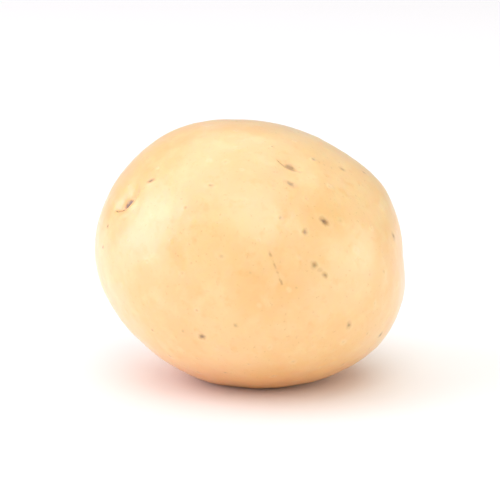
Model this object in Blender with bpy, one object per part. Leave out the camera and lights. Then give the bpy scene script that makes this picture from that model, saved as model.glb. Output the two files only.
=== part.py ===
"""A small round potato, lying on the flat spot on its underside.

Units are metres and +Z is up. The origin is on the surface that the potato lies on, under the
middle of its bounding box. -Y is the front, and +X is to the right of someone facing it.

The tuber is one solid, because it grew in one piece. It is a rounded grid of points round its
middle, each set at the distance that the skin has in that direction: an ellipsoid whose long
axis is tipped, broad swellings and hollows, and a shallow hollow for each eye. The underside is
pressed flat where it rests.
"""

import math
from dataclasses import dataclass

import bmesh
import bpy
from mathutils import Matrix, Vector

MM = 0.001

# The ellipsoid that the tuber follows, before its swellings.
LONG_AXIS = 52.8 * MM
CROSS_AXIS = 48.2 * MM
SHORT_AXIS = 44.4 * MM
TIP_DEG = 13.0  # how far the right end of the long axis dips below the level

# The flat spot underneath.
PRESSED_DEPTH = 1.15 * MM  # how much of the round underside the flat spot takes off
EDGE_BLEND = 0.35 * MM  # height over which the flat spot rounds up into the side

GRID_STEPS = 24  # faces along each side of the cube that the grid is blown up from

SKIN_COLOUR = (0.87, 0.62, 0.28, 1.0)
SKIN_ROUGHNESS = 0.5


@dataclass(frozen=True)
class Swelling:
    """A broad rise of the skin, or a hollow where the rise is negative."""

    azimuth: float  # degrees round from +X, as seen from above
    elevation: float  # degrees above the level
    rise: float  # metres
    reach: float  # degrees over which it fades


@dataclass(frozen=True)
class Eye:
    """A shallow hollow that holds a bud."""

    place: int  # its place along the spiral of eyes
    away: float  # degrees from the bud end
    width: float  # metres across
    depth: float  # metres


SWELLINGS = (
    Swelling(0, 26, 0.8 * MM, 18),  # low shoulder above the flattened right side
    Swelling(0, -32, 1.0 * MM, 22),  # full lower right end
    Swelling(0, 4, -0.5 * MM, 16),  # flattened right side
    Swelling(180, 56, 0.5 * MM, 20),  # full top left
    Swelling(180, 30, -0.6 * MM, 24),  # even curve of the left shoulder
    Swelling(180, -36, -0.4 * MM, 18),  # straight lower left side
    Swelling(180, -66, 0.6 * MM, 20),  # full underside, left of the flat spot
    Swelling(100, 20, 0.6 * MM, 40),  # fuller back
    Swelling(35, 5, -0.5 * MM, 22),  # flattened back right
    Swelling(-60, -20, 0.3 * MM, 35),  # full front
)

# The tuber grew from its stem end, low in front, to its bud end at the back. Its eyes wind round
# that axis, and crowd together towards the bud end.
BUD_END = (70.0, 22.0)  # azimuth and elevation
SPIRAL_START = 190.0  # turn of the first eye, in degrees
SPIRAL_STEP = 144.0  # turn from each eye to the next: two turns in five eyes

EYES = (
    Eye(0, 5, 4.0 * MM, 0.30 * MM),
    Eye(1, 17, 4.5 * MM, 0.45 * MM),
    Eye(2, 29, 5.5 * MM, 0.55 * MM),
    Eye(3, 42, 5.5 * MM, 0.55 * MM),
    Eye(4, 55, 6.0 * MM, 0.60 * MM),
    Eye(5, 69, 5.0 * MM, 0.35 * MM),
    Eye(6, 83, 6.0 * MM, 0.60 * MM),
    Eye(7, 97, 4.5 * MM, 0.25 * MM),
    Eye(9, 118, 5.5 * MM, 0.55 * MM),
)


def clear_scene():
    """Removes the objects of the scene that the script starts in."""
    for obj in list(bpy.data.objects):
        bpy.data.objects.remove(obj)


def unit_vector(azimuth, elevation):
    """The unit vector at these angles, in degrees."""
    turn, lift = math.radians(azimuth), math.radians(elevation)
    level = math.cos(lift)
    return Vector((level * math.cos(turn), level * math.sin(turn), math.sin(lift)))


def eye_direction(eye):
    """The direction of an eye: so far from the bud end, and so far round the growth axis."""
    bud_end = unit_vector(*BUD_END)
    level = Vector((0, 0, 1)).cross(bud_end).normalized()
    turn = math.radians(SPIRAL_START + SPIRAL_STEP * eye.place)
    sideways = math.cos(turn) * level + math.sin(turn) * bud_end.cross(level)
    away = math.radians(eye.away)
    return math.sin(away) * sideways + math.cos(away) * bud_end


def fading(angle, reach):
    """A bell curve: 1 at no angle, falling away over the reach."""
    return math.exp(-((angle / reach) ** 2))


def ellipsoid_radius(direction, untip):
    """How far the tipped ellipsoid's surface is from its middle, in one direction."""
    x, y, z = untip @ direction
    return 0.5 / math.sqrt(
        (x / LONG_AXIS) ** 2 + (y / CROSS_AXIS) ** 2 + (z / SHORT_AXIS) ** 2
    )


def skin_radius(direction, untip):
    """How far the skin is from the middle of the tuber, in one direction."""
    radius = ellipsoid_radius(direction, untip)
    for swelling in SWELLINGS:
        middle = unit_vector(swelling.azimuth, swelling.elevation)
        angle = math.degrees(direction.angle(middle))
        radius += swelling.rise * fading(angle, swelling.reach)
    for eye in EYES:
        arc = radius * direction.angle(eye_direction(eye))
        radius -= eye.depth * fading(arc, eye.width / 2)
    return radius


def pressed(height):
    """A point's height once the underside is pressed flat at zero, with a rounded edge."""
    if height <= -EDGE_BLEND:
        return 0.0
    if height >= EDGE_BLEND:
        return height
    return (height + EDGE_BLEND) ** 2 / (4 * EDGE_BLEND)


def even_direction(corner):
    """The direction of a point on the cube from -1 to 1, spaced by equal angles over each side."""
    return Vector([math.tan(part * math.pi / 4) for part in corner]).normalized()


def tuber_mesh():
    """The tuber's mesh, with its flat spot at zero height and its box centred on the origin."""
    grid = bmesh.new()
    bmesh.ops.create_cube(grid, size=2.0)
    bmesh.ops.subdivide_edges(
        grid, edges=grid.edges, cuts=GRID_STEPS - 1, use_grid_fill=True
    )
    untip = Matrix.Rotation(math.radians(TIP_DEG), 3, "Y").inverted()
    for point in grid.verts:
        direction = even_direction(point.co)
        point.co = direction * skin_radius(direction, untip)
    lowest = min(point.co.z for point in grid.verts)
    for point in grid.verts:
        point.co.z = pressed(point.co.z - lowest - PRESSED_DEPTH)
    for axis in (0, 1):
        low = min(point.co[axis] for point in grid.verts)
        high = max(point.co[axis] for point in grid.verts)
        for point in grid.verts:
            point.co[axis] -= (low + high) / 2
    mesh = bpy.data.meshes.new("potato")
    grid.to_mesh(mesh)
    grid.free()
    mesh.shade_smooth()
    return mesh


def skin_material():
    """Thin golden skin with a soft gloss."""
    material = bpy.data.materials.new("potato_skin")
    material.use_nodes = True
    shader = material.node_tree.nodes["Principled BSDF"]
    shader.inputs["Base Color"].default_value = SKIN_COLOUR
    shader.inputs["Roughness"].default_value = SKIN_ROUGHNESS
    shader.inputs["Metallic"].default_value = 0.0
    return material


def main():
    """Builds the potato in a collection of its own."""
    clear_scene()
    collection = bpy.data.collections.new("small_potato")
    bpy.context.scene.collection.children.link(collection)
    potato = bpy.data.objects.new("potato", tuber_mesh())
    potato.data.materials.append(skin_material())
    collection.objects.link(potato)


main()
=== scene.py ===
"""A small washed potato lying on its flat spot, on a pale floor in soft light.

Lengths are in metres unless their names end in _mm, and angles are in degrees. +Z is up and the
front is at -Y. The potato grew in one piece, so it is one closed skin. Geometry Nodes lay it on
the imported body: an even, rounded grid, drawn in where the detail is fine, and then raised and sunk
at the eyes, pores and scratches. The tree leaves on every point of the skin how it lies to the
nearest mark of each kind, and the finish colours the marks from that.
"""

import logging
import math
from dataclasses import dataclass
from enum import Enum
from functools import partial
from typing import Any, Mapping, Sequence, Union

import bmesh
import bpy
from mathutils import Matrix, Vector
from mathutils.bvhtree import BVHTree

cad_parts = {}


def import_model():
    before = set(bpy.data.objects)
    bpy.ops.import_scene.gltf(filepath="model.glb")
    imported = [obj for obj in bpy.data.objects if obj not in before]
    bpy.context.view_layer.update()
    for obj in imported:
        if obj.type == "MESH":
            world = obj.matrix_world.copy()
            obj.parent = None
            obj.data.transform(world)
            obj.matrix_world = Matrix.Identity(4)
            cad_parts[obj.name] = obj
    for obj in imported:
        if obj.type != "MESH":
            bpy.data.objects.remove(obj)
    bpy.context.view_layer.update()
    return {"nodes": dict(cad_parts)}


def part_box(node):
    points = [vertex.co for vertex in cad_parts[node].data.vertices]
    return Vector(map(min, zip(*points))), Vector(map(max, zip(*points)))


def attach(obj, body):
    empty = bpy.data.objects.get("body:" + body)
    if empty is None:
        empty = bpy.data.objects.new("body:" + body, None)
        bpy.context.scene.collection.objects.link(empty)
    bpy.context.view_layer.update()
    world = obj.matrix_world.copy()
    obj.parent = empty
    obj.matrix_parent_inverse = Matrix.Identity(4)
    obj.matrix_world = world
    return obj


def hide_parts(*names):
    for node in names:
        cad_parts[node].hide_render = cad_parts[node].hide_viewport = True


LOG = logging.getLogger("potato")

MM = 0.001

# The kinds of node that come most often, and the setting of one that fades smoothly.
MATH = "ShaderNodeMath"
VECTOR = "ShaderNodeVectorMath"
RANGE = "ShaderNodeMapRange"
NOISE = "ShaderNodeTexNoise"
JOIN = "ShaderNodeCombineXYZ"
SPLIT = "ShaderNodeSeparateXYZ"
SET_POSITION = "GeometryNodeSetPosition"
SMOOTH = {"interpolation_type": "SMOOTHSTEP"}

CORK = "6B4720"  # thick cork
THIN_CORK = "B5843C"  # and cork that the skin shines through

Wire = Union[bpy.types.Node, bpy.types.NodeSocket]
Wires = Union[Sequence[Any], Mapping[str, Any]]


def add_node(tree: bpy.types.NodeTree, kind: str, wires: Wires = (), operation: str = "",
             **settings: Any) -> bpy.types.Node:
    """Adds a node to a tree, with its settings and what goes into it.

    Args:
        tree: The tree that the node joins.
        kind: Blender's name for the type of node.
        wires: What goes into the sockets in use, in their order or by their names: a value, a
            socket, a node whose first output in use is meant, or a list of these for a socket
            that takes several.
        operation: What the node works out, where it has a choice.
        **settings: The node's other properties.

    Returns:
        The new node.
    """
    node = tree.nodes.new(kind)
    if operation:
        node.operation = operation
    for name, value in settings.items():
        setattr(node, name, value)
    sockets = [socket for socket in node.inputs if socket.enabled]
    by_name = {socket.name: socket for socket in sockets}
    pairs = wires.items() if isinstance(wires, Mapping) else enumerate(wires)
    for key, value in pairs:
        socket = by_name[key] if isinstance(key, str) else sockets[key]
        for source in value if isinstance(value, list) else [value]:
            if isinstance(source, bpy.types.Node):
                source = next(output for output in source.outputs if output.enabled)
            if isinstance(source, bpy.types.NodeSocket):
                tree.links.new(source, socket)
            else:
                socket.default_value = source
    return node


def linear(hex_colour: str) -> tuple[float, float, float, float]:
    """Turns an sRGB colour into the linear one that shaders take.

    Args:
        hex_colour: Six hex digits, two each for red, green and blue.

    Returns:
        Red, green, blue and an alpha of 1, all linear.
    """
    shares = [int(hex_colour[start : start + 2], 16) / 255 for start in (0, 2, 4)]
    parts = [s / 12.92 if s <= 0.04045 else ((s + 0.055) / 1.055) ** 2.4 for s in shares]
    return (parts[0], parts[1], parts[2], 1.0)


def per_mm(length_mm: float) -> float:
    """The scale of a pattern on Object coordinates whose features are this long."""
    return 1.0 / (length_mm * MM)


def toward(azimuth: float, elevation: float) -> Vector:
    """The unit vector at an azimuth round from +X and an elevation."""
    turn, lift = math.radians(azimuth), math.radians(elevation)
    return Vector((math.cos(lift) * math.cos(turn), math.cos(lift) * math.sin(turn), math.sin(lift)))


class PoreLook(Enum):
    """How a pore has healed, as its share of corky brown and of pale raised rim."""

    PALE = (0.10, 0.6)
    TAN = (0.50, 0.35)
    BROWN = (0.85, 0.5)
    BARE_BROWN = (0.70, 0.1)


@dataclass(frozen=True)
class Pore:
    """A pore at a listed place."""

    azimuth: float
    elevation: float
    width_mm: float
    look: PoreLook
    stretch: float = 1.0  # how many times as long as round ones, across the growth axis


@dataclass(frozen=True)
class Eye:
    """A bud in a hollow, under the curved brow that its scale leaf left."""

    place: int  # its place along the spiral of eyes
    away: float  # degrees from the bud end
    width_mm: float
    depth_mm: float
    bud_mm: float  # how far its bud stands out of the hollow
    brown: float  # how brown the corky skin of its brow and bud is, from 0 to 1


@dataclass(frozen=True)
class Bud:
    """A bud's place in an eye and its size, in half widths of the eye."""

    aside: float
    along: float
    reach: float
    share: float  # of the eye's greatest bud


@dataclass(frozen=True)
class EyeForm:
    """The form that all the eyes share, in half widths of an eye and shares of its depth.

    A brow arches round the side of each eye that faces the stem end, where a scale leaf grew.
    Distances along an eye run away from there, towards the bud end.
    """

    brow_bend: float = 0.30  # how far the ends of the brow run forward of its middle
    brow_back: float = 0.28  # how far behind the middle of the eye the brow lies
    gone_aside: float = 1.35  # how far aside the hollow has run out
    whole_aside: float = 0.35  # and how far aside it is still whole
    hollow: tuple[tuple[float, float], ...] = (  # distance past the brow, and height
        (-1.4, 0.0), (-0.7, 0.06), (-0.24, 0.42), (-0.02, 0.0),
        (0.22, -1.0), (0.62, -0.75), (1.2, -0.25), (2.2, 0.0),
    )
    buds: tuple[Bud, ...] = (Bud(0.0, 0.10, 0.26, 1.0), Bud(0.42, 0.16, 0.17, 0.45))

    def past_brow(self, tree: bpy.types.NodeTree, across: Wire, along: Wire, ahead: float = 0.0) -> Wire:
        """Measures how far past the brow a place in an eye is.

        Args:
            tree: The tree to measure in.
            across: How far across the eye the place is.
            along: How far along it.
            ahead: How far in front of the brow to measure from.

        Returns:
            The distance.
        """
        square = add_node(tree, MATH, [across, across], "MULTIPLY")
        brow = add_node(tree, MATH, [square, self.brow_bend, ahead - self.brow_back], "MULTIPLY_ADD")
        return add_node(tree, MATH, [along, brow], "SUBTRACT")


@dataclass(frozen=True)
class Scratch:
    """A fine scratch, from one azimuth and elevation to another."""

    start: tuple[float, float]
    end: tuple[float, float]


@dataclass(frozen=True)
class Scuff:
    """A patch where the skin was rubbed and has healed dull."""

    azimuth: float
    elevation: float
    reach_mm: float


@dataclass(frozen=True)
class Chance:
    """The least and greatest that a scattered pore's value may be, and how rare the greatest is."""

    least: float
    most: float
    rarity: float = 1.0


EYES = (
    Eye(0, 5, 4.0, 0.25, 0.35, 0.75),
    Eye(1, 17, 4.6, 0.50, 0.40, 0.60),
    Eye(2, 29, 5.6, 0.70, 0.55, 0.85),
    Eye(3, 42, 5.4, 0.65, 0.50, 0.60),
    Eye(4, 55, 6.2, 0.80, 0.60, 0.80),
    Eye(5, 69, 5.0, 0.35, 0.20, 0.45),
    Eye(6, 83, 6.2, 0.75, 0.55, 0.75),
    Eye(7, 97, 4.6, 0.22, 0.10, 0.50),
    Eye(9, 118, 5.5, 0.60, 0.40, 1.00),
)

PORES = (
    Pore(-110, -22, 1.7, PoreLook.BROWN),  # the scar of the stem that the potato hung from
    Pore(-57, 23, 1.5, PoreLook.BROWN, 1.6),
    Pore(-67, 20, 1.4, PoreLook.TAN),
    Pore(-65, 7, 1.6, PoreLook.TAN),
    Pore(-61, 3, 1.2, PoreLook.TAN, 1.3),
    Pore(-68, 41, 1.5, PoreLook.TAN, 1.9),
    Pore(-49, -18, 1.4, PoreLook.TAN, 1.4),
    Pore(-24, -27, 1.6, PoreLook.TAN),
    Pore(-70, -34, 1.1, PoreLook.PALE),
    Pore(-19, 10, 1.5, PoreLook.TAN, 1.5),
    Pore(-144, 36, 1.1, PoreLook.BARE_BROWN, 1.8),
    Pore(-159, 14, 1.0, PoreLook.BARE_BROWN),
    Pore(-160, 6, 0.9, PoreLook.BARE_BROWN),
    Pore(-106, 52, 1.1, PoreLook.PALE),
    Pore(-116, 4, 1.0, PoreLook.PALE),
)

SCRATCHES = (
    Scratch((-83, 14), (-78, 1)),
    Scratch((30, 30), (42, 22)),
    Scratch((120, -12), (112, 4)),
    Scratch((-172, -30), (-164, -22)),
    Scratch((95, 62), (60, 70)),
)

SCUFFS = (
    Scuff(150, 8, 7.0),
    Scuff(22, -38, 6.0),
    Scuff(85, 66, 5.0),
)


def point_object(name: str, points: Sequence[Vector], edges: Sequence[tuple[int, int]] = (),
                 **attributes: Sequence[Any]) -> bpy.types.Object:
    """Makes an object of bare points for a tree to read.

    Args:
        name: The object's name.
        points: Where the points are.
        edges: Pairs of points that an edge joins.
        **attributes: One value for each point, a number or a vector, by attribute name.

    Returns:
        The new object, which isn't in the scene.
    """
    mesh = bpy.data.meshes.new(name)
    mesh.from_pydata([tuple(point) for point in points], list(edges), [])
    for key, values in attributes.items():
        if isinstance(values[0], Vector):
            layer = mesh.attributes.new(key, "FLOAT_VECTOR", "POINT")
            layer.data.foreach_set("vector", [part for value in values for part in value])
        else:
            layer = mesh.attributes.new(key, "FLOAT", "POINT")
            layer.data.foreach_set("value", [float(value) for value in values])
    return bpy.data.objects.new(name, mesh)


class Body:
    """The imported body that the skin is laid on."""

    def __init__(self, node: bpy.types.Object) -> None:
        """Copies the node's mesh with its doubles merged.

        Args:
            node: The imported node.
        """
        merged = bmesh.new()
        merged.from_mesh(node.data)
        bmesh.ops.remove_doubles(merged, verts=merged.verts, dist=0.001 * MM)
        self.surface = BVHTree.FromBMesh(merged)
        mesh = bpy.data.meshes.new("body_surface")
        merged.to_mesh(mesh)
        merged.free()
        self.object = bpy.data.objects.new("body_surface", mesh)
        low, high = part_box(node.name)
        self.low: Vector = low
        self.high: Vector = high
        self.middle: Vector = (low + high) / 2
        self.reach: float = (high - low).length  # more than the skin is from the middle, anywhere

    def on_skin(self, direction: Vector) -> tuple[Vector, Vector]:
        """The point of the body that lies in a direction from its middle, and its normal there.

        Args:
            direction: A unit vector.

        Returns:
            The point and the unit normal.
        """
        start = self.middle + direction * self.reach
        point, normal, _, _ = self.surface.ray_cast(start, -direction)
        return point, normal


@dataclass(frozen=True)
class Tuber:
    """The potato itself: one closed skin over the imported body."""

    body: Body
    finish: bpy.types.Material
    eyes: tuple[Eye, ...] = EYES
    eye_form: EyeForm = EyeForm()
    pores: tuple[Pore, ...] = PORES
    scratches: tuple[Scratch, ...] = SCRATCHES
    scuffs: tuple[Scuff, ...] = SCUFFS
    grid_steps: int = 128  # faces along each side of the cube that the grid is blown up from
    even_out_passes: int = 12  # how often the skin is evened out over the body's flat facets
    bud_end: tuple[float, float] = (70.0, 22.0)  # azimuth and elevation
    spiral_start: float = 190.0  # turn of the first eye round the bud end
    spiral_step: float = 144.0  # turn from each eye to the next
    eye_draw: float = 0.5  # how strongly the grid is drawn in at an eye
    eye_draw_mm: float = 3.6  # and from how far round it
    pore_draw: float = 0.55
    pore_draw_mm: float = 1.5
    pore_gap_mm: float = 5.2  # least distance between two scattered pores
    pore_density: float = 1.0e6  # for each square metre, which is more than the gap lets stand
    pore_to_eye_mm: float = 3.4  # least distance from a scattered pore to an eye
    pore_to_pore_mm: float = 2.6  # and to a listed pore
    plain_from_mm: float = 3.0  # scattered pores are fainter this near to a listed one
    plain_to_mm: float = 18.0  # and as brown as any from here on
    plain_least: float = 0.25
    pore_width_mm: Chance = Chance(0.5, 1.15)
    pore_cork: Chance = Chance(0.0, 0.9, 3.2)
    pore_rim: Chance = Chance(0.0, 0.8, 1.3)
    pore_stretch: Chance = Chance(1.0, 1.7, 2.0)
    pore_rise_mm: float = 0.055
    pore_rise_shares: tuple[float, float] = (0.3, 1.1)  # of that, with no rim and with a full one
    pore_swell: tuple[tuple[float, float], ...] = (  # distance in half widths, and share of the rise
        (0.0, 0.45), (0.35, 0.65), (0.75, 1.0), (1.25, 0.45), (1.8, 0.10), (2.4, 0.0),
    )
    wave_rise_mm: float = 0.16
    wave_length_mm: float = 9.0
    ripple_rise_mm: float = 0.030
    ripple_length_mm: float = 2.6
    wave_noise: tuple[float, float] = (0.2, 0.8)  # the noise at the bottom and the top of a wave
    scratch_depth_mm: float = 0.035
    scratch_width_mm: float = 0.30
    scuff_whole: float = 0.2  # share of a scuff's reach inside which it is whole
    seed: int = 7

    def eye_direction(self, eye: Eye) -> Vector:
        """The direction of an eye from the body's middle.

        Args:
            eye: The eye, with its place on the spiral and its angle from the bud end.

        Returns:
            A unit vector.
        """
        bud_end = toward(*self.bud_end)
        level = Vector((0, 0, 1)).cross(bud_end).normalized()
        turn = math.radians(self.spiral_start + self.spiral_step * eye.place)
        sideways = math.cos(turn) * level + math.sin(turn) * bud_end.cross(level)
        away = math.radians(eye.away)
        return math.sin(away) * sideways + math.cos(away) * bud_end

    def eye_points(self) -> bpy.types.Object:
        """Marks the eyes.

        Returns:
            One point for each eye, with its sizes, the way its bud grows and the way across it.
        """
        bud_end = toward(*self.bud_end)
        places, growth, sideways = [], [], []
        for eye in self.eyes:
            point, normal = self.body.on_skin(self.eye_direction(eye))
            along = (bud_end - bud_end.dot(normal) * normal).normalized()
            places.append(point)
            growth.append(along)
            sideways.append(along.cross(normal))
        return point_object(
            "eye_points", places, growth=growth, sideways=sideways,
            width=[eye.width_mm * MM for eye in self.eyes],
            depth=[eye.depth_mm * MM for eye in self.eyes],
            bud=[eye.bud_mm * MM for eye in self.eyes],
            brown=[eye.brown for eye in self.eyes],
        )

    def pore_points(self) -> bpy.types.Object:
        """Marks the listed pores.

        Returns:
            One point for each pore, with its size and its look.
        """
        places = [self.body.on_skin(toward(pore.azimuth, pore.elevation))[0] for pore in self.pores]
        corks, rims = zip(*(pore.look.value for pore in self.pores))
        return point_object(
            "pore_points", places, width=[pore.width_mm * MM for pore in self.pores],
            cork=corks, rim=rims, stretch=[pore.stretch for pore in self.pores],
        )

    def scratch_lines(self) -> bpy.types.Object:
        """Marks the scratches.

        Returns:
            One edge for each scratch.
        """
        ends = [toward(*end) for scratch in self.scratches for end in (scratch.start, scratch.end)]
        edges = [(2 * count, 2 * count + 1) for count in range(len(self.scratches))]
        return point_object("scratch_lines", [self.body.on_skin(end)[0] for end in ends], edges)

    def scuff_points(self) -> bpy.types.Object:
        """Marks the scuffs.

        Returns:
            One point in the middle of each scuff, with its reach.
        """
        places = [self.body.on_skin(toward(scuff.azimuth, scuff.elevation))[0] for scuff in self.scuffs]
        reaches = [scuff.reach_mm * MM for scuff in self.scuffs]
        return point_object("scuff_points", places, reach=reaches)

    def build(self) -> bpy.types.Object:
        """Lays and dresses the skin, and keeps it as a plain mesh.

        Returns:
            The skin's object, at the origin.
        """
        sources = {
            "Body": self.body.object,
            "Eyes": self.eye_points(),
            "Pores": self.pore_points(),
            "Scratches": self.scratch_lines(),
            "Scuffs": self.scuff_points(),
        }
        holder = bpy.data.objects.new("skin_holder", bpy.data.meshes.new("skin_holder"))
        helpers = (*sources.values(), holder)
        for helper in helpers:
            bpy.context.scene.collection.objects.link(helper)
        skin_tree = SkinTree(self, sources)
        modifier = holder.modifiers.new("skin", "NODES")
        modifier.node_group = skin_tree.build()
        for identifier, value in skin_tree.values.items():
            modifier[identifier] = value
        graph = bpy.context.evaluated_depsgraph_get()
        mesh = bpy.data.meshes.new_from_object(holder.evaluated_get(graph))
        mesh.name = "potato_skin"
        for helper in helpers:
            data = helper.data
            bpy.data.objects.remove(helper)
            bpy.data.meshes.remove(data)
        bpy.data.node_groups.remove(skin_tree.tree)
        skin = bpy.data.objects.new("potato_skin", mesh)
        bpy.context.scene.collection.objects.link(skin)
        return skin


class SkinTree:
    """The Geometry Nodes tree that lays a tuber's skin.

    Its methods are its stages. They cast an even grid onto the body, scatter pores over it, draw
    it in at every pore and eye, even out the body's facets, leave the marks on it, and raise and
    sink it there.
    """

    def __init__(self, tuber: Tuber, sources: Mapping[str, bpy.types.Object]) -> None:
        """Makes the tree, its named inputs and what several stages read.

        Args:
            tuber: The potato, for its sizes.
            sources: The body and the objects that hold the marks, by the names of the inputs.
        """
        self.tuber = tuber
        self.tree = bpy.data.node_groups.new("tuber_skin", "GeometryNodeTree")
        self.add = partial(add_node, self.tree)
        for way in ("INPUT", "OUTPUT"):
            self.tree.interface.new_socket("Geometry", in_out=way, socket_type="NodeSocketGeometry")
        inputs: dict[str, Mapping[str, Any]] = {
            "NodeSocketFloat": {
                "Pore Gap": tuber.pore_gap_mm * MM,
                "Pore Rise": tuber.pore_rise_mm * MM,
                "Pore Draw": tuber.pore_draw,
                "Pore Draw Reach": tuber.pore_draw_mm * MM,
                "Eye Draw": tuber.eye_draw,
                "Eye Draw Reach": tuber.eye_draw_mm * MM,
                "Wave Rise": tuber.wave_rise_mm * MM,
                "Wave Scale": per_mm(tuber.wave_length_mm),
                "Ripple Rise": tuber.ripple_rise_mm * MM,
                "Ripple Scale": per_mm(tuber.ripple_length_mm),
                "Scratch Rise": -tuber.scratch_depth_mm * MM,
                "Scratch Width": tuber.scratch_width_mm * MM,
            },
            "NodeSocketInt": {
                "Grid Points": tuber.grid_steps + 1,
                "Even Out Passes": tuber.even_out_passes,
                "Seed": tuber.seed,
            },
            "NodeSocketVector": {"Middle": tuber.body.middle, "Bud End": toward(*tuber.bud_end)},
            "NodeSocketMaterial": {"Skin": tuber.finish},
            "NodeSocketObject": sources,
        }
        self.values: dict[str, Any] = {}  # by the inputs' identifiers
        for kind, group in inputs.items():
            for name, value in group.items():
                socket = self.tree.interface.new_socket(name, in_out="INPUT", socket_type=kind)
                self.values[socket.identifier] = value
        self.given = self.tree.nodes.new("NodeGroupInput").outputs
        self.here = self.add("GeometryNodeInputPosition")
        self.normal = self.add("GeometryNodeInputNormal")
        self.arm = self.add(VECTOR, [self.here, self.given["Middle"]], "SUBTRACT")
        self.outward = self.add(VECTOR, [self.arm], "NORMALIZE")
        self.eyes = self.shape_of("Eyes")
        # The listed pores, which the scattered ones join later.
        self.pores: Wire = self.add("GeometryNodeMeshToPoints", [self.shape_of("Pores")])
        rows = self.given["Grid Points"]
        self.skin: Wire = self.add("GeometryNodeMeshCube", [(2.0, 2.0, 2.0), rows, rows, rows])
        self.rises: list[Wire] = []  # how far each kind of mark raises the skin

    def shape_of(self, name: str) -> Wire:
        """The geometry of a source object."""
        return self.add("GeometryNodeObjectInfo", [self.given[name]]).outputs["Geometry"]

    def build(self) -> bpy.types.NodeTree:
        """Lays the stages one after another, and dresses the skin.

        Returns:
            The whole tree.
        """
        self.lay_grid()
        self.scatter_pores()
        self.draw_in()
        self.even_out()
        self.mark_eyes()
        self.mark_pores()
        self.mark_scratches()
        self.mark_scuffs()
        self.make_waves()
        self.raise_skin()
        smooth = self.add("GeometryNodeSetShadeSmooth", [self.skin])
        real = self.add("GeometryNodeRealizeInstances", [smooth])
        dressed = self.add("GeometryNodeSetMaterial", {"Geometry": real, "Material": self.given["Skin"]})
        self.add("NodeGroupOutput", [dressed])
        return self.tree

    def lay_grid(self) -> None:
        """Blows the cube up, with its grid at equal angles over each side, and casts it."""
        angles = self.add(VECTOR, [self.here, (math.pi / 4,) * 3], "MULTIPLY")
        even = self.add(VECTOR, [angles], "TANGENT")
        self.cast(self.add(VECTOR, [even], "NORMALIZE"))

    def cast(self, direction: Wire) -> None:
        """Casts the skin onto the body, along lines through the body's middle.

        Args:
            direction: The line's direction at each point.
        """
        reach = self.tuber.body.reach
        out = self.add(VECTOR, {"Vector": direction, "Scale": reach}, "SCALE")
        start = self.add(VECTOR, [out, self.given["Middle"]], "ADD")
        inward = self.add(VECTOR, {"Vector": direction, "Scale": -1.0}, "SCALE")
        hit = self.add("GeometryNodeRaycast", {
            "Target Geometry": self.shape_of("Body"), "Source Position": start,
            "Ray Direction": inward, "Ray Length": reach,
        })
        self.skin = self.add(SET_POSITION, {"Geometry": self.skin, "Position": hit.outputs["Hit Position"]})

    def scatter_pores(self) -> None:
        """Scatters pores clear of the eyes and of the listed pores, and joins them all."""
        tuber = self.tuber
        points: Wire = self.add("GeometryNodeDistributePointsOnFaces", {
            "Mesh": self.skin, "Distance Min": self.given["Pore Gap"],
            "Density Max": tuber.pore_density, "Seed": self.given["Seed"],
        }, distribute_method="POISSON")
        for taken, clear_mm in ((self.eyes, tuber.pore_to_eye_mm), (self.pores, tuber.pore_to_pore_mm)):
            near = self.add("GeometryNodeProximity", {"Geometry": taken}, target_element="POINTS")
            close = self.add("FunctionNodeCompare", [near.outputs["Distance"], clear_mm * MM],
                             "LESS_THAN", data_type="FLOAT")
            points = self.add("GeometryNodeDeleteGeometry", [points, close], domain="POINT")
        plain = self.add(RANGE, [
            near.outputs["Distance"], tuber.plain_from_mm * MM, tuber.plain_to_mm * MM,
            tuber.plain_least, 1.0,
        ])
        values = (
            ("width", tuber.pore_width_mm, MM), ("cork", tuber.pore_cork, plain),
            ("rim", tuber.pore_rim, 1.0), ("stretch", tuber.pore_stretch, 1.0),
        )
        for count, (name, chance, unit) in enumerate(values):
            seed = self.add("FunctionNodeIntegerMath", [self.given["Seed"], count], "ADD")
            drawn = self.add("FunctionNodeRandomValue", {"Seed": seed}, data_type="FLOAT")
            rarer = self.add(MATH, [drawn, chance.rarity], "POWER")
            value = self.add(RANGE, [rarer, 0.0, 1.0, chance.least, chance.most])
            value = self.add(MATH, [value, unit], "MULTIPLY")
            points = self.add("GeometryNodeStoreNamedAttribute",
                              {"Geometry": points, "Name": name, "Value": value}, data_type="FLOAT")
        self.pores = self.add("GeometryNodeJoinGeometry", [[self.pores, points]])

    def nearest(self, points: Wire, names: Mapping[str, str]) -> dict[str, Wire]:
        """Reads what the nearest of some points holds, for each point of the skin.

        Args:
            points: The geometry to look in.
            names: The attributes to read, each with its data type.

        Returns:
            The vector from the nearest point as "offset", and each attribute by its name.
        """
        which = self.add("GeometryNodeSampleNearest", [points])
        there = self.add("GeometryNodeSampleIndex", [points, self.here, which], data_type="FLOAT_VECTOR")
        held: dict[str, Wire] = {"offset": self.add(VECTOR, [self.here, there], "SUBTRACT")}
        for name, kind in names.items():
            value = self.add("GeometryNodeInputNamedAttribute", {"Name": name}, data_type=kind)
            held[name] = self.add("GeometryNodeSampleIndex", [points, value, which], data_type=kind)
        return held

    def bell(self, distance: Wire, reach: Any) -> Wire:
        """Draws a bell curve.

        Args:
            distance: How far each point is from the curve's middle.
            reach: How far off the curve has fallen to a little over a third.

        Returns:
            The curve's height, 1 in the middle.
        """
        ratio = self.add(MATH, [distance, reach], "DIVIDE")
        square = self.add(MATH, [ratio, ratio], "MULTIPLY")
        minus = self.add(MATH, [square, -1.0], "MULTIPLY")
        return self.add(MATH, [minus], "EXPONENT")

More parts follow.
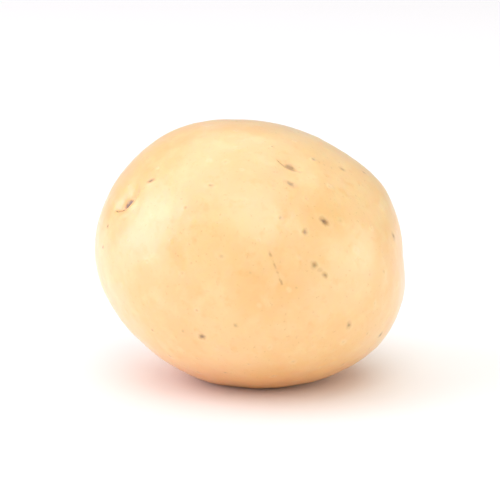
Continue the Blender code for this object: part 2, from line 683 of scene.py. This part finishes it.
    def draw_in(self) -> None:
        """Draws the grid in at the eyes and pores, so that it is finer where the detail is."""
        for points, draw in ((self.eyes, "Eye Draw"), (self.pores, "Pore Draw")):
            offset = self.nearest(points, {})["offset"]
            distance = self.add(VECTOR, [offset], "LENGTH")
            bell = self.bell(distance, self.given[draw + " Reach"])
            share = self.add(MATH, [bell, self.given[draw]], "MULTIPLY")
            inward = self.add(MATH, [share, -1.0], "MULTIPLY")
            step = self.add(VECTOR, {"Vector": offset, "Scale": inward}, "SCALE")
            self.skin = self.add(SET_POSITION, {"Geometry": self.skin, "Offset": step})
        self.cast(self.outward)

    def even_out(self) -> None:
        """Blurs how far the points are from the middle, which rounds off the body's facets."""
        length = self.add(VECTOR, [self.arm], "LENGTH")
        even = self.add("GeometryNodeBlurAttribute", [length, self.given["Even Out Passes"]],
                        data_type="FLOAT")
        arm = self.add(VECTOR, {"Vector": self.outward, "Scale": even}, "SCALE")
        place = self.add(VECTOR, [arm, self.given["Middle"]], "ADD")
        self.skin = self.add(SET_POSITION, {"Geometry": self.skin, "Position": place})

    def remember(self, **values: Wire) -> None:
        """Leaves values on each point of the skin for the finish to read.

        Args:
            **values: What to leave, by attribute name.
        """
        for name, value in values.items():
            self.skin = self.add("GeometryNodeStoreNamedAttribute",
                                 {"Geometry": self.skin, "Name": name, "Value": value},
                                 data_type="FLOAT_VECTOR")

    def profile(self, distance: Wire, points: Sequence[tuple[float, float]]) -> Wire:
        """Reads a height off a drawn curve.

        Args:
            distance: What the curve runs along.
            points: The curve's points, as distance and height, the heights from -1 to 1.

        Returns:
            The height.
        """
        least, most = points[0][0], points[-1][0]
        spots = [((place - least) / (most - least), (height + 1) / 2) for place, height in points]
        along = self.add(RANGE, [distance, least, most, 0.0, 1.0])
        curve = self.add("ShaderNodeFloatCurve", {"Value": along})
        line = curve.mapping.curves[0]
        line.points[0].location = spots[0]
        line.points[1].location = spots[-1]
        for spot in spots[1:-1]:
            line.points.new(*spot)
        curve.mapping.update()
        return self.add(RANGE, [curve, 0.0, 1.0, -1.0, 1.0])

    def with_distance(self, across: Wire, along: Wire) -> Wire:
        """Makes a place in a mark.

        Args:
            across: How far across the mark the place is.
            along: How far along it.

        Returns:
            A vector of the two, with the distance from the middle as its third part.
        """
        flat = self.add(JOIN, [across, along, 0.0])
        away = self.add(VECTOR, [flat], "LENGTH")
        return self.add(JOIN, [across, along, away])

    def across_and_along(self, offset: Wire) -> tuple[Wire, Wire]:
        """Measures an offset along the skin.

        Args:
            offset: A vector from the middle of a mark.

        Returns:
            How far it goes round the growth axis, and how far towards the bud end.
        """
        side = self.add(VECTOR, [self.given["Bud End"], self.normal], "CROSS_PRODUCT")
        side = self.add(VECTOR, [side], "NORMALIZE")
        rise = self.add(VECTOR, [self.normal, side], "CROSS_PRODUCT")
        across = self.add(VECTOR, [offset, side], "DOT_PRODUCT")
        along = self.add(VECTOR, [offset, rise], "DOT_PRODUCT")
        return across.outputs["Value"], along.outputs["Value"]

    def mark_eyes(self) -> None:
        """Leaves each point's place in its nearest eye, in half widths, and shapes the eyes."""
        form = self.tuber.eye_form
        kinds = {"growth": "FLOAT_VECTOR", "sideways": "FLOAT_VECTOR"}
        held = self.nearest(self.eyes, kinds | dict.fromkeys(("width", "depth", "bud", "brown"), "FLOAT"))
        half = self.add(MATH, [held["width"], 0.5], "MULTIPLY")
        places = []
        for axis in ("sideways", "growth"):
            part = self.add(VECTOR, [held["offset"], held[axis]], "DOT_PRODUCT")
            places.append(self.add(MATH, [part, half], "DIVIDE"))
        across, along = places
        look = self.add(JOIN, [held["brown"], 0.0, 0.0])
        self.remember(eye=self.with_distance(across, along), eye_look=look)

        past_brow = form.past_brow(self.tree, across, along)
        aside = self.add(MATH, [across], "ABSOLUTE")
        inside = self.add(RANGE, [aside, form.gone_aside, form.whole_aside, 0.0, 1.0], **SMOOTH)
        shape = self.add(MATH, [self.profile(past_brow, form.hollow), inside], "MULTIPLY")
        rise = self.add(MATH, [shape, held["depth"]], "MULTIPLY")
        mirrored = self.add(JOIN, [aside, along, 0.0])
        for bud in form.buds:
            from_bud = self.add(VECTOR, [mirrored, (bud.aside, bud.along, 0.0)], "DISTANCE")
            height = self.add(MATH, [self.bell(from_bud, bud.reach), bud.share], "MULTIPLY")
            rise = self.add(MATH, [height, held["bud"], rise], "MULTIPLY_ADD")
        self.rises.append(rise)

    def mark_pores(self) -> None:
        """Leaves each point's place in its nearest pore, in half widths, and swells the pores."""
        held = self.nearest(self.pores, dict.fromkeys(("width", "cork", "rim", "stretch"), "FLOAT"))
        across, along = self.across_and_along(held["offset"])
        half = self.add(MATH, [held["width"], 0.5], "MULTIPLY")
        long_half = self.add(MATH, [half, held["stretch"]], "MULTIPLY")
        across = self.add(MATH, [across, long_half], "DIVIDE")
        place = self.with_distance(across, self.add(MATH, [along, half], "DIVIDE"))
        self.remember(pore=place, pore_look=self.add(JOIN, [held["cork"], held["rim"], 0.0]))
        shape = self.profile(self.add(SPLIT, [place]).outputs["Z"], self.tuber.pore_swell)
        rise = self.add(MATH, [shape, self.given["Pore Rise"]], "MULTIPLY")
        share = self.add(RANGE, [held["rim"], 0.0, 1.0, *self.tuber.pore_rise_shares])
        self.rises.append(self.add(MATH, [rise, share], "MULTIPLY"))

    def mark_scratches(self) -> None:
        """Leaves each point's place by its nearest scratch, in millimetres, and sinks them."""
        near = self.add("GeometryNodeProximity", {"Geometry": self.shape_of("Scratches")},
                        target_element="EDGES")
        offset = self.add(VECTOR, [self.here, near.outputs["Position"]], "SUBTRACT")
        place = self.with_distance(*self.across_and_along(offset))
        self.remember(scratch=self.add(VECTOR, {"Vector": place, "Scale": 1 / MM}, "SCALE"))
        bell = self.bell(self.add(SPLIT, [place]).outputs["Z"], self.given["Scratch Width"])
        self.rises.append(self.add(MATH, [bell, self.given["Scratch Rise"]], "MULTIPLY"))

    def mark_scuffs(self) -> None:
        """Leaves how scuffed the skin is, from 0 to 1."""
        held = self.nearest(self.shape_of("Scuffs"), {"reach": "FLOAT"})
        away = self.add(VECTOR, [held["offset"]], "LENGTH")
        share = self.add(MATH, [away, held["reach"]], "DIVIDE")
        scuffed = self.add(RANGE, [share, 1.0, self.tuber.scuff_whole, 0.0, 1.0], **SMOOTH)
        self.remember(scuff=self.add(JOIN, [scuffed, 0.0, 0.0]))

    def make_waves(self) -> None:
        """Makes the skin gently uneven, in long waves with ripples on them."""
        total: Any = 0.0
        for name in ("Wave", "Ripple"):
            noise = self.add(NOISE, {
                "Vector": self.here, "Scale": self.given[name + " Scale"], "Detail": 1.0, "Roughness": 0.4,
            })
            centred = self.add(RANGE, [noise, *self.tuber.wave_noise, -1.0, 1.0])
            total = self.add(MATH, [centred, self.given[name + " Rise"], total], "MULTIPLY_ADD")
        self.rises.append(total)

    def raise_skin(self) -> None:
        """Raises the skin along its normal, and flattens what would go under the floor."""
        total = self.rises[0]
        for rise in self.rises[1:]:
            total = self.add(MATH, [total, rise], "ADD")
        step = self.add(VECTOR, {"Vector": self.normal, "Scale": total}, "SCALE")
        raised = self.add(SET_POSITION, {"Geometry": self.skin, "Offset": step})
        x, y, z = self.add(SPLIT, [self.here]).outputs
        place = self.add(JOIN, [x, y, self.add(MATH, [z, 0.0], "MAXIMUM")])
        self.skin = self.add(SET_POSITION, {"Geometry": raised, "Position": place})


@dataclass(frozen=True)
class Tinge:
    """A colour laid over the skin, more and more as some measure changes."""

    colour: str
    gone: float  # the measure at which there is none of it
    whole: float  # and at which there is its full share
    share: float
    ramp: str = "SMOOTHSTEP"


@dataclass(frozen=True)
class Cloud:
    """A tinge that comes and goes all over the skin, by the height of a noise."""

    tinge: Tinge
    length_mm: float  # across a cloud
    detail: float
    shift: tuple[float, float, float] = (0.0, 0.0, 0.0)  # keeps its clouds off the others'


@dataclass(frozen=True)
class Wander:
    """How the outline of a mark wanders, as healed cork's does."""

    length_mm: float
    reach: float  # in the unit of the mark's places


@dataclass(frozen=True)
class Breaks:
    """How a line is broken up."""

    length_mm: float  # of a piece of the line
    detail: float
    gap: float  # the noise at which hardly any of the line is left
    whole: float  # and at which all of it is
    left: float = 0.1  # what is left of it in a gap


@dataclass(frozen=True)
class Grain:
    """An unevenness all over the skin, too fine for the mesh."""

    length_mm: float
    detail: float
    rise_mm: float


@dataclass(frozen=True)
class PoreStep:
    """A fine rise of the skin towards the middle of a pore, or a fall where it is negative."""

    outer: float  # where it starts, in half widths of the pore
    inner: float  # and where it ends
    rise_mm: float


@dataclass(frozen=True)
class WashedSkin:
    """The finish: thin new-potato skin, washed and dried.

    The skin is a translucent cork layer a tenth of a millimetre thick over moist, pale flesh. Its
    waxy film gives a broad satin gloss. Light that travels a few millimetres through the flesh
    turns its shaded side golden. Its straw colour is never quite even, and cork shows brown
    wherever it has healed thicker.
    """

    eye_form: EyeForm = EyeForm()
    straw: str = "F4CB8A"
    clouds: tuple[Cloud, ...] = (
        Cloud(Tinge("EFBE70", 0.38, 0.68, 0.75), 13.0, 2.0),
        Cloud(Tinge("F1BF87", 0.48, 0.75, 0.30), 19.5, 1.0, (0.31, 0.07, 0.19)),
        Cloud(Tinge("E9CE87", 0.58, 0.80, 0.45), 17.0, 1.0, (0.13, 0.41, 0.05)),
        Cloud(Tinge("F7D99C", 0.45, 0.75, 0.40), 3.2, 4.0, (0.07, 0.23, 0.37)),
        Cloud(Tinge("EEB766", 0.52, 0.80, 0.50), 1.9, 5.0, (0.43, 0.03, 0.11)),
        Cloud(Tinge(THIN_CORK, 0.62, 0.80, 0.35), 0.55, 3.0, (0.17, 0.29, 0.02)),  # flecks of cork
    )
    underside_painted_shade: Tinge = Tinge("E2962C", 10.0 * MM, 0.0, 0.9)  # by height: painted shade, a deeper orange gold towards the bottom that stands in for the warm shade low on the potato

    # The colours of the marks, by half widths from the middle of a pore or an eye.
    pore_rim: Tinge = Tinge("F9DEAA", 1.9, 0.5, 0.4)
    pore_edge: Tinge = Tinge(THIN_CORK, 1.15, 0.25, 0.85)
    pore_core: Tinge = Tinge(CORK, 0.62, 0.0, 0.95)
    eye_hollow: Tinge = Tinge("EEB766", 1.25, 0.1, 0.55)
    bud_tip: Tinge = Tinge("DDAF72", 0.22, 0.08, 0.6)  # from the tip itself
    eye_edge: Tinge = Tinge(THIN_CORK, 0.0, 0.5, 0.85, "LINEAR")  # these two by how corky the eye is
    eye_core: Tinge = Tinge(CORK, 0.35, 1.0, 0.95, "LINEAR")
    scuff: Tinge = Tinge("D0A369", 0.20, 0.62, 0.60)  # by how scuffed the skin is
    scratch: Tinge = Tinge(THIN_CORK, 0.30, 0.05, 0.6)  # by millimetres from the scratch

    pore_wander: Wander = Wander(0.7, 0.42)
    eye_wander: Wander = Wander(0.8, 0.16)
    scratch_wander: Wander = Wander(1.0, 0.16)
    slack: float = 0.35  # how much nearer to a mark than it is stored a place may wander
    brow_breaks: Breaks = Breaks(0.8, 4.0, 0.40, 0.62)
    scratch_breaks: Breaks = Breaks(1.1, 3.0, 0.42, 0.60)
    torn_mm: float = 2.2  # the length of the shreds of a scuff

    # Under an eye's brow runs a brown streak, and round its bud is a dark foot, in half widths of
    # the eye. Each fade is how far off something is gone, and how far off it is still whole.
    streak_ahead: float = 0.08  # how far in front of the brow's line the streak runs
    streak_end: float = 1.15  # how far aside its ends are
    streak_thick: tuple[float, float] = (0.17, 0.004)  # half its thickness, midway and at its ends
    streak_fade: tuple[float, float] = (1.5, 0.2)  # in halves of its thickness
    foot_place: tuple[float, float, float] = (0.06, -0.02, 0.0)
    foot_squash: tuple[float, float, float] = (0.75, 1.1, 1.0)
    foot_fade: tuple[float, float] = (0.42, 0.12)
    tip_place: tuple[float, float, float] = (0.0, 0.20, 0.0)
    eye_fade: tuple[float, float] = (1.5, 1.0)  # of all of an eye's brown

    # The relief that is too fine for the mesh: grain and wrinkles, each pore's lip and pit, rubs.
    grains: tuple[Grain, ...] = (Grain(0.45, 4.0, 0.010), Grain(1.3, 3.0, 0.022))
    pore_steps: tuple[PoreStep, ...] = (PoreStep(1.3, 0.8, 0.012), PoreStep(0.6, 0.2, -0.014))
    rub_depth_mm: float = 0.012

    roughness: float = 0.42
    roughness_spread: float = 0.055  # up and down, in clouds
    shine_mm: float = 4.5  # across one of these clouds
    shine_noise: tuple[float, float] = (0.3, 0.7)  # the noise where it is smoothest, and roughest
    dulling: float = 0.25  # how much rougher cork and scuffs are
    ior: float = 1.5
    film: float = 1.0  # the waxy film's weight
    film_ior: float = 1.7
    film_roughness: float = 0.32
    glow: float = 0.6  # share of light that passes through the flesh
    glow_mm: float = 4.5  # how far the red part of it travels
    glow_colours: tuple[float, float, float] = (1.0, 0.42, 0.14)  # the red, green and blue parts

    def material(self) -> bpy.types.Material:
        """Makes the material."""
        return SkinShader(self).build()


class SkinShader:
    """The shader tree of a potato's skin.

    It reads Object coordinates for what lies all over the skin, and the marks that the skin holds
    for the eyes, pores, scratches and scuffs. Its methods lay one colour over another.
    """

    def __init__(self, finish: WashedSkin) -> None:
        """Makes an empty material.

        Args:
            finish: The colours, gloss and sizes.
        """
        self.finish = finish
        self.result = bpy.data.materials.new("washed_potato_skin")
        self.result.use_nodes = True
        self.tree = self.result.node_tree
        self.tree.nodes.clear()
        self.add = partial(add_node, self.tree)
        self.here = self.add("ShaderNodeTexCoord").outputs["Object"]
        self.colour: Any = linear(finish.straw)  # the colour so far

    def build(self) -> bpy.types.Material:
        """Joins the colours, the gloss and the relief.

        Returns:
            The material.
        """
        finish = self.finish
        self.lay_ground()
        pore = self.in_mark("pore", finish.pore_wander)[2]
        pore_cork = self.lay_pores(pore)
        eye_cork = self.lay_eyes()
        rub = self.lay_rubs()
        relief = self.fine_relief(pore, rub)
        bump = self.add("ShaderNodeBump", {"Strength": 1.0, "Distance": MM, "Height": relief})
        cork = self.add(MATH, [pore_cork, eye_cork], "MAXIMUM")
        dull = self.add(MATH, [cork, rub], "MAXIMUM")
        cloud = self.add(NOISE, {"Vector": self.here, "Scale": per_mm(finish.shine_mm), "Detail": 3.0})
        shine = self.add(RANGE, [
            cloud, *finish.shine_noise, finish.roughness - finish.roughness_spread,
            finish.roughness + finish.roughness_spread,
        ])
        rough = self.add(MATH, [dull, finish.dulling, shine], "MULTIPLY_ADD")
        shader = self.add("ShaderNodeBsdfPrincipled", {
            "Base Color": self.colour, "Roughness": rough, "IOR": finish.ior, "Normal": bump,
            "Subsurface Weight": finish.glow, "Subsurface Radius": finish.glow_colours,
            "Subsurface Scale": finish.glow_mm * MM,
            "Coat Weight": finish.film, "Coat Roughness": finish.film_roughness,
            "Coat IOR": finish.film_ior, "Coat Normal": bump,
        })
        self.add("ShaderNodeOutputMaterial", {"Surface": shader})
        return self.result

    def lay(self, tinge: Tinge, measure: Wire, strength: Any = 1.0) -> Wire:
        """Lays a tinge over the colour so far.

        Args:
            tinge: The colour, and how it follows the measure.
            measure: What it follows.
            strength: How much of it there is at most.

        Returns:
            How much of it was laid.
        """
        amount = self.add(RANGE, [measure, tinge.gone, tinge.whole, 0.0, tinge.share],
                          interpolation_type=tinge.ramp)
        amount = self.add(MATH, [amount, strength], "MULTIPLY")
        self.colour = self.add("ShaderNodeMix", [amount, self.colour, linear(tinge.colour)],
                               data_type="RGBA")
        return amount

    def lay_ground(self) -> None:
        """Lays the skin's own colours, and a painted shade that deepens towards the bottom, before its
        marks.
        """
        for cloud in self.finish.clouds:
            spot = self.add("ShaderNodeMapping", {"Vector": self.here, "Location": cloud.shift})
            noise = self.add(NOISE, {"Vector": spot, "Scale": per_mm(cloud.length_mm),
                                     "Detail": cloud.detail})
            self.lay(cloud.tinge, noise)
        # Painted shade: a deeper orange gold laid by height, strongest at the bottom.
        self.lay(self.finish.underside_painted_shade, self.add(SPLIT, [self.here]).outputs["Z"])

    def held(self, name: str) -> Wire:
        """What the skin's points hold under a name."""
        return self.add("ShaderNodeAttribute", attribute_name=name).outputs["Vector"]

    def in_mark(self, name: str, wander: Wander) -> tuple[Wire, Wire, Wire]:
        """Reads the place in a mark, and makes the mark's outlines wander.

        Args:
            name: The attribute that holds the place.
            wander: How they wander.

        Returns:
            How far across, how far along and how far away the middle of the mark is. Where two
            marks meet, the place flips from one to the other, so the stored distance holds up
            the last of the three.
        """
        noise = self.add(NOISE, {"Vector": self.here, "Scale": per_mm(wander.length_mm), "Detail": 3.0})
        centred = self.add(VECTOR, [noise.outputs["Color"], (0.5, 0.5, 0.5)], "SUBTRACT")
        reach = (2 * wander.reach, 2 * wander.reach, 0.0)
        shift = self.add(VECTOR, [centred, reach], "MULTIPLY")
        moved = self.add(VECTOR, [self.held(name), shift], "ADD")
        across, along, stored = self.add(SPLIT, [moved]).outputs
        flat = self.add(JOIN, [across, along, 0.0])
        away = self.add(VECTOR, [flat], "LENGTH").outputs["Value"]
        guard = self.add(MATH, [stored, self.finish.slack], "SUBTRACT")
        return across, along, self.add(MATH, [away, guard], "MAXIMUM")

    def unbroken(self, breaks: Breaks) -> Wire:
        """Breaks a line up.

        Args:
            breaks: How it is broken up.

        Returns:
            How much of it is left.
        """
        noise = self.add(NOISE, {"Vector": self.here, "Scale": per_mm(breaks.length_mm),
                                 "Detail": breaks.detail})
        return self.add(RANGE, [noise, breaks.gap, breaks.whole, breaks.left, 1.0])

    def lay_pores(self, away: Wire) -> Wire:
        """Gives each pore a faint pale rim and a corky middle.

        Args:
            away: How many half widths away the middle of the nearest pore is.

        Returns:
            How corky the skin is.
        """
        cork, rim, _ = self.add(SPLIT, [self.held("pore_look")]).outputs
        self.lay(self.finish.pore_rim, away, rim)
        self.lay(self.finish.pore_edge, away, cork)
        return self.lay(self.finish.pore_core, away, cork)

    def brow_streak(self, across: Wire, along: Wire) -> Wire:
        """Draws the brown streak that runs along the foot of a brow.

        Args:
            across: How far across the eye each point is.
            along: How far along it.

        Returns:
            How brown the streak is, from 0 to 1.
        """
        finish = self.finish
        past = finish.eye_form.past_brow(self.tree, across, along, finish.streak_ahead)
        past = self.add(MATH, [past], "ABSOLUTE")
        aside = self.add(MATH, [across], "ABSOLUTE")
        thick = self.add(RANGE, [aside, 0.0, finish.streak_end, *finish.streak_thick])
        ratio = self.add(MATH, [past, thick], "DIVIDE")
        streak = self.add(RANGE, [ratio, *finish.streak_fade, 0.0, 1.0], **SMOOTH)
        return self.add(MATH, [streak, self.unbroken(finish.brow_breaks)], "MULTIPLY")

    def lay_eyes(self) -> Wire:
        """Gives each eye a warm hollow, a brown streak under its brow and a bud with a dark foot.

        Returns:
            How corky the skin is.
        """
        finish = self.finish
        across, along, away = self.in_mark("eye", finish.eye_wander)
        brown = self.add(SPLIT, [self.held("eye_look")]).outputs["X"]
        self.lay(finish.eye_hollow, away, brown)

        flat = self.add(JOIN, [across, along, 0.0])
        from_foot = self.add(VECTOR, [flat, finish.foot_place], "SUBTRACT")
        from_foot = self.add(VECTOR, [from_foot, finish.foot_squash], "MULTIPLY")
        from_foot = self.add(VECTOR, [from_foot], "LENGTH")
        foot = self.add(RANGE, [from_foot, *finish.foot_fade, 0.0, 1.0], **SMOOTH)
        cork = self.add(MATH, [self.brow_streak(across, along), foot], "MAXIMUM")
        near = self.add(RANGE, [away, *finish.eye_fade, 0.0, 1.0])
        for share in (near, brown):
            cork = self.add(MATH, [cork, share], "MULTIPLY")
        for tinge in (finish.eye_edge, finish.eye_core):
            self.lay(tinge, cork)
        self.lay(finish.bud_tip, self.add(VECTOR, [flat, finish.tip_place], "DISTANCE"), near)
        return cork

    def lay_rubs(self) -> Wire:
        """Colours the scuffs and scratches.

        Returns:
            How rubbed the skin is.
        """
        finish = self.finish
        scuff = self.add(SPLIT, [self.held("scuff")]).outputs["X"]
        noise = self.add(NOISE, {"Vector": self.here, "Scale": per_mm(finish.torn_mm), "Detail": 7.0,
                                 "Roughness": 0.7})
        scuffed = self.lay(finish.scuff, self.add(MATH, [scuff, noise], "MULTIPLY"))
        away = self.in_mark("scratch", finish.scratch_wander)[2]
        scratched = self.lay(finish.scratch, away, self.unbroken(finish.scratch_breaks))
        return self.add(MATH, [scuffed, scratched], "MAXIMUM")

    def fine_relief(self, pore: Wire, rub: Wire) -> Wire:
        """Adds up what is too fine for the mesh.

        Args:
            pore: How many half widths away the middle of the nearest pore is.
            rub: How rubbed the skin is.

        Returns:
            The height, in millimetres.
        """
        total: Any = 0.0
        for grain in self.finish.grains:
            noise = self.add(NOISE, {"Vector": self.here, "Scale": per_mm(grain.length_mm),
                                     "Detail": grain.detail})
            total = self.add(MATH, [noise, grain.rise_mm, total], "MULTIPLY_ADD")
        for step in self.finish.pore_steps:
            rise = self.add(RANGE, [pore, step.outer, step.inner, 0.0, step.rise_mm], **SMOOTH)
            total = self.add(MATH, [total, rise], "ADD")
        return self.add(MATH, [rub, -self.finish.rub_depth_mm, total], "MULTIPLY_ADD")


@dataclass(frozen=True)
class MattCard:
    """The floor's finish: thick uncoated card, which is matt and faintly fibrous."""

    colour: str = "FCFBFA"
    roughness: float = 0.85
    fibre_mm: float = 0.8
    fibre_rise_mm: float = 0.004

    def material(self) -> bpy.types.Material:
        """Makes the material.

        Returns:
            The new material.
        """
        material = bpy.data.materials.new("pale_matt_card")
        material.use_nodes = True
        tree = material.node_tree
        tree.nodes.clear()
        here = add_node(tree, "ShaderNodeTexCoord").outputs["Object"]
        fibre = add_node(tree, NOISE, {"Vector": here, "Scale": per_mm(self.fibre_mm), "Detail": 3.0})
        bump = add_node(tree, "ShaderNodeBump", {
            "Strength": 1.0, "Distance": self.fibre_rise_mm * MM, "Height": fibre,
        })
        shader = add_node(tree, "ShaderNodeBsdfPrincipled", {
            "Base Color": linear(self.colour), "Roughness": self.roughness, "Normal": bump,
        })
        add_node(tree, "ShaderNodeOutputMaterial", {"Surface": shader})
        return material


@dataclass(frozen=True)
class Lamp:
    """A large, round, soft lamp that faces the potato."""

    name: str
    azimuth: float
    elevation: float
    distance_mm: float
    size_mm: float
    power: float  # watts
    colour: str = "FFFFFF"

    def place(self, aim: Vector) -> None:
        """Hangs the lamp.

        Args:
            aim: The point that it faces.
        """
        light = bpy.data.lights.new(self.name, "AREA")
        light.shape = "DISK"
        light.size = self.size_mm * MM
        light.energy = self.power
        light.color = linear(self.colour)[:3]
        lamp = bpy.data.objects.new(self.name, light)
        out = toward(self.azimuth, self.elevation)
        lamp.location = aim + out * self.distance_mm * MM
        lamp.rotation_euler = out.to_track_quat("Z", "Y").to_euler()
        bpy.context.scene.collection.objects.link(lamp)


@dataclass(frozen=True)
class Studio:
    """The floor, the lamps and the camera."""

    floor_reach: float = 4.0
    card: MattCard = MattCard()
    sky_strength: float = 0.55
    camera_elevation: float = 14.0
    lens_mm: float = 180.0
    sensor_mm: float = 36.0
    filled: float = 0.62  # the potato's share of the view's width
    lamps: tuple[Lamp, ...] = (
        Lamp("side_softbox", -172, 25, 600, 640, 2.45, "F2E6FF"),
        Lamp("front_softbox", -78, 48, 900, 700, 1.9),
        Lamp("right_softbox", -10, 8, 800, 600, 1.4),
        Lamp("overhead_softbox", 90, 80, 900, 1300, 4.0),
    )

    def build(self, low: Vector, high: Vector) -> None:
        """Sets everything round the box that the potato fills.

        Args:
            low: The box's lowest corner.
            high: Its highest corner.
        """
        aim = (low + high) / 2
        self.lay_floor()
        self.light_sky()
        for lamp in self.lamps:
            lamp.place(aim)
        self.set_camera(aim, high.x - low.x)

    def lay_floor(self) -> None:
        """Lays a wide floor, level with the flat spot."""
        sheet = bmesh.new()
        bmesh.ops.create_grid(sheet, x_segments=8, y_segments=8, size=self.floor_reach)
        mesh = bpy.data.meshes.new("floor")
        sheet.to_mesh(mesh)
        sheet.free()
        mesh.materials.append(self.card.material())
        floor = bpy.data.objects.new("floor", mesh)
        bpy.context.scene.collection.objects.link(floor)

    def light_sky(self) -> None:
        """Lets even white light in from all round."""
        world = bpy.data.worlds.new("studio_white")
        world.use_nodes = True
        sky = world.node_tree.nodes["Background"]
        sky.inputs["Color"].default_value = linear("FFFFFF")
        sky.inputs["Strength"].default_value = self.sky_strength
        bpy.context.scene.world = world

    def set_camera(self, aim: Vector, width: float) -> None:
        """Looks from the front, a little from above.

        Args:
            aim: The middle of the view.
            width: The potato's width.
        """
        data = bpy.data.cameras.new("camera")
        data.lens = self.lens_mm
        data.sensor_width = self.sensor_mm
        data.clip_start = 0.01
        camera = bpy.data.objects.new("camera", data)
        out = toward(-90, self.camera_elevation)
        distance = width / self.filled * self.lens_mm / self.sensor_mm
        camera.location = aim + out * distance
        camera.rotation_euler = out.to_track_quat("Z", "Y").to_euler()
        bpy.context.scene.collection.objects.link(camera)
        bpy.context.scene.camera = camera


def main() -> None:
    """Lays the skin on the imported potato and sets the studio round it."""
    logging.basicConfig(level=logging.INFO, format="%(message)s")
    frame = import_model()
    bpy.context.scene.view_settings.view_transform = "Standard"
    body = Body(frame["nodes"]["potato"])
    tuber = Tuber(body, WashedSkin().material())
    skin = tuber.build()
    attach(skin, "root")
    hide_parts("potato")
    LOG.info("%s: %d faces, %d eyes", skin.name, len(skin.data.polygons), len(tuber.eyes))
    Studio().build(body.low, body.high)


if __name__ == "__main__":
    main()
